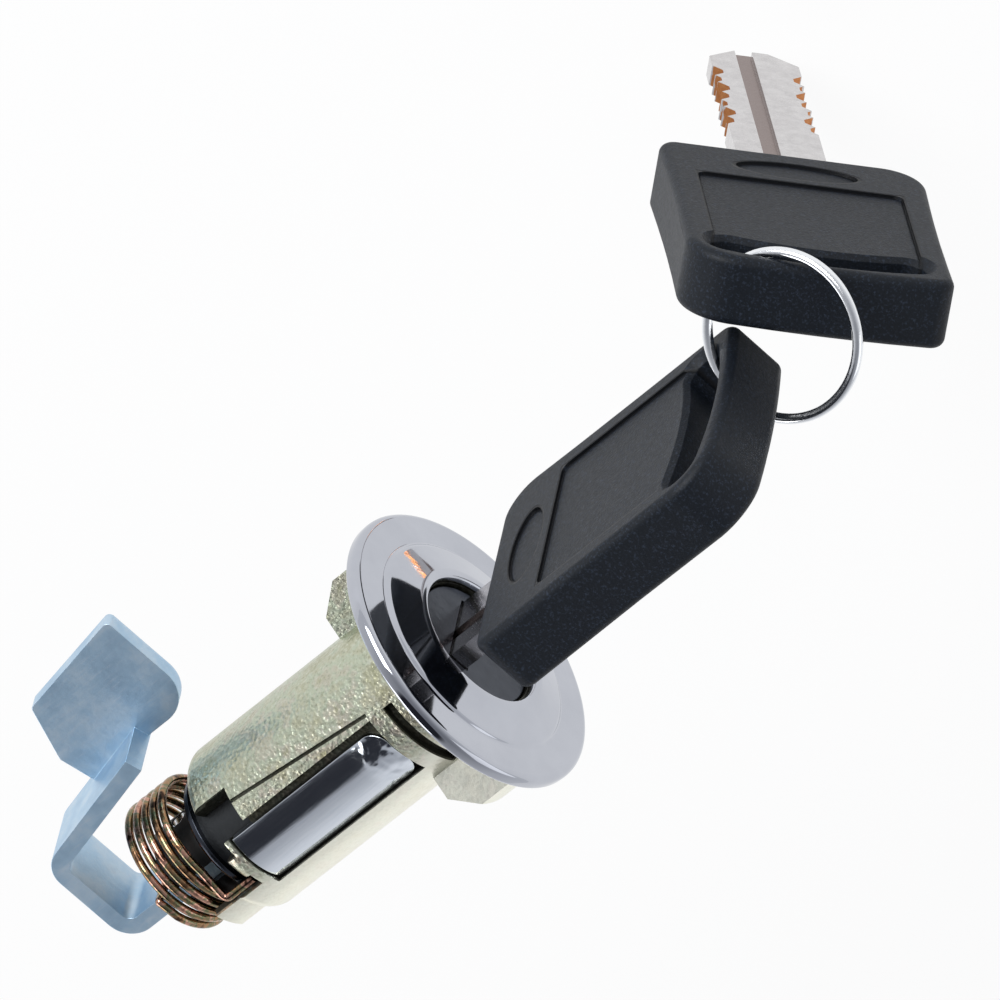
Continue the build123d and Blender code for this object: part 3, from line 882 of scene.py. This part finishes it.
# %% [markdown]
# The keys: each head is moulded round its blade, and moulds leave a soft edge. The blade's
# edges are only slightly broken. Both keys are made in one loop, because they are twins.

# %% The keys
for key in ("key", "spare_key"):
    head = rounded_copy(f"{key}_head", 0.3, 3, crease=35.0)
    piece(f"{key}_head_moulding", head, f"{key}_head", key, f"{key}_head")
    blade = rounded_copy(f"{key}_blade", 0.08)
    piece(f"{key}_blade_milled", blade, f"{key}_blade", key, f"{key}_blade")

# %% [markdown]
# The ring is one round wire bent into a circle and welded. Its solid is a true torus already,
# so a welded copy with smooth shading is all that it needs. No facets are joined here,
# because that would flatten the round wire.

# %% The ring
ring_shape = rounded_copy("key_ring", 0.0, flat=0.0)
piece("ring_wire_loop", ring_shape, "ring", "ring", "key_ring", weighted=False)

# %% [markdown]
# The wafers and their springs are hidden inside the lock. They stay as they are in the frame
# and only get their finish.

# %% Wafers and wafer springs
for name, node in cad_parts.items():
    if name.startswith("wafer_"):
        kept = finishes["wire" if name == "wafer_springs" else "brass"]
        node.data.materials.clear()
        node.data.materials.append(kept)
print("nodes kept from the frame:", [n for n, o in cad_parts.items() if not o.hide_render])

# %% [markdown]
# The floor is a plain pale sheet, 2 mm below the spare key. Lighting it until it is white
# would burn out the part, so the camera and the shiny metals see a sheet of white light in
# its place, mixed with a little of the real floor. That little still takes a faint shadow.

# %% Floor and backdrop
FLOOR_DROP = 2
FLOOR_HEIGHT = cad_low.z - FLOOR_DROP * MM
FLOOR_SIZE = 3.0
WHITE_SHARE = 0.9
floor_mesh = bpy.data.meshes.new("floor")
floor_shape = bmesh.new()
bmesh.ops.create_grid(floor_shape, x_segments=1, y_segments=1, size=FLOOR_SIZE)
bmesh.ops.translate(floor_shape, vec=(0, 0, FLOOR_HEIGHT), verts=floor_shape.verts)
floor_shape.to_mesh(floor_mesh)
floor_shape.free()
floor = bpy.data.objects.new("floor", floor_mesh)
bpy.context.scene.collection.objects.link(floor)

floor_finish = Finish("pale_floor", Roughness=0.9)
floor_finish.set("Base Color", (0.86, 0.86, 0.87, 1.0))
seen_by_camera = floor_finish.node("ShaderNodeLightPath", output="Is Camera Ray")
seen_in_metal = floor_finish.node("ShaderNodeLightPath", output="Is Glossy Ray")
seen_through = floor_finish.node("ShaderNodeLightPath", output="Is Transmission Ray")
white_share = seen_by_camera.at_least(seen_in_metal).at_least(seen_through) * WHITE_SHARE
white_sheet = floor_finish.node("ShaderNodeEmission", None, {"Color": (1, 1, 1, 1), "Strength": 1.0})
real_floor = Value(floor_finish, floor_finish.shader.outputs[0])
mixed = floor_finish.node("ShaderNodeMixShader", None, {0: white_share, 1: real_floor, 2: white_sheet})
floor_finish.feed(floor_finish.tree.nodes["Material Output"].inputs["Surface"], mixed)
floor_mesh.materials.append(floor_finish.material)
print("floor at", round(FLOOR_HEIGHT / MM, 1), "mm")

# %% [markdown]
# The light is that of a plain product shot. The world is a pale tent all round, brighter at
# the sides than overhead. Polished metal shows only what stands around it, so a tent without
# any dark in it would make chrome look like grey paint. A dark gap overhead gives the strip
# its dark band, as the dark studio does on the real one.

# %% The tent
TENT_STRENGTH = 0.8
GAP_DIRECTION = Vector((0.06, 0.50, 0.86)).normalized()
GAP_EDGE, GAP_CORE = 24, 16
GAP_COLOUR = (0.03, 0.032, 0.04)
studio = bpy.data.worlds.new("studio")
bpy.context.scene.world = studio
studio.use_nodes = True
sky = Nodes(studio.node_tree)
direction = sky.node("ShaderNodeTexCoord", output="Generated")
height = sky.node("ShaderNodeSeparateXYZ", None, {0: direction}, "Z")
tent = sky.ramp(
    height,
    (0.0, (0.95, 0.96, 0.98)),
    (0.35, (0.82, 0.83, 0.86)),
    (1.0, (0.30, 0.31, 0.34)),
)
gap_edge = math.cos(math.radians(GAP_EDGE))
gap_core = math.cos(math.radians(GAP_CORE))
in_gap = sky.dot(direction, GAP_DIRECTION).rise(gap_edge, gap_core)
background = sky.tree.nodes["Background"]
sky.feed(background.inputs["Color"], sky.blend(in_gap, tent, GAP_COLOUR))
sky.feed(background.inputs["Strength"], TENT_STRENGTH)
print("the tent's gap is", 2 * GAP_EDGE, "degrees wide")

# %% [markdown]
# Three large soft lamps add direction to the tent. The main one stands to the upper left of
# the camera, a weak one fills the other side, and one behind lights the edges.


# %% The lamps
def lamp(name, direction, distance, size, power):
    """A square soft lamp that looks at the middle of the object from this direction."""
    data = bpy.data.lights.new(name, "AREA")
    data.size = size
    data.energy = power
    made = bpy.data.objects.new(name, data)
    bpy.context.scene.collection.objects.link(made)
    middle = (cad_low + cad_high) / 2
    way = Vector(direction).normalized()
    made.location = middle + way * distance
    made.rotation_mode = "QUATERNION"
    made.rotation_quaternion = way.to_track_quat("Z", "Y")
    print(name, "stands", distance, "m away with", power, "W")


lamp("main_lamp", direction=(0.86, -0.2, 0.55), distance=0.6, size=0.35, power=3.0)
lamp("fill_lamp", direction=(-0.7, -0.5, 0.5), distance=0.7, size=0.5, power=0.5)
lamp("back_lamp", direction=(0.1, 0.9, 0.5), distance=0.7, size=0.4, power=1.2)

# %% [markdown]
# The camera stands where the photograph was taken from: above the keys' side of the lock,
# turned so that the lock axis runs from the upper right to the lower left. A very long lens
# from far away gives the photograph's flat perspective. The lens follows from the distance,
# so that one millimetre at the origin covers ten pixels.

# %% Camera
RIGHT = Vector((-0.71387, -0.68817, -0.12966))
UP = Vector((0.62595, -0.54404, -0.55875))
BACK = Vector((0.31398, -0.48003, 0.81914))
PIXELS_PER_MM = 10.0
FRAME_PIXELS = 1000.0
ORIGIN_PIXEL = (461.5, 654.5)
CAMERA_DISTANCE = 1.5
SENSOR_WIDTH = 36.0
frame_width = FRAME_PIXELS / PIXELS_PER_MM * MM
aside = (FRAME_PIXELS / 2 - ORIGIN_PIXEL[0]) / PIXELS_PER_MM * MM
above = (ORIGIN_PIXEL[1] - FRAME_PIXELS / 2) / PIXELS_PER_MM * MM
camera_data = bpy.data.cameras.new("camera")
camera_data.sensor_width = SENSOR_WIDTH
camera_data.lens = SENSOR_WIDTH * CAMERA_DISTANCE / frame_width
camera_data.clip_start = 0.1
camera_data.clip_end = 20.0
camera = bpy.data.objects.new("camera", camera_data)
camera.location = RIGHT * aside + UP * above + BACK * CAMERA_DISTANCE
camera.rotation_mode = "QUATERNION"
camera.rotation_quaternion = Matrix((RIGHT, UP, BACK)).transposed().to_quaternion()
bpy.context.scene.collection.objects.link(camera)
bpy.context.scene.camera = camera
bpy.context.scene.view_settings.view_transform = "Standard"
print("camera at", [round(v, 3) for v in camera.location], "lens", round(camera_data.lens), "mm")
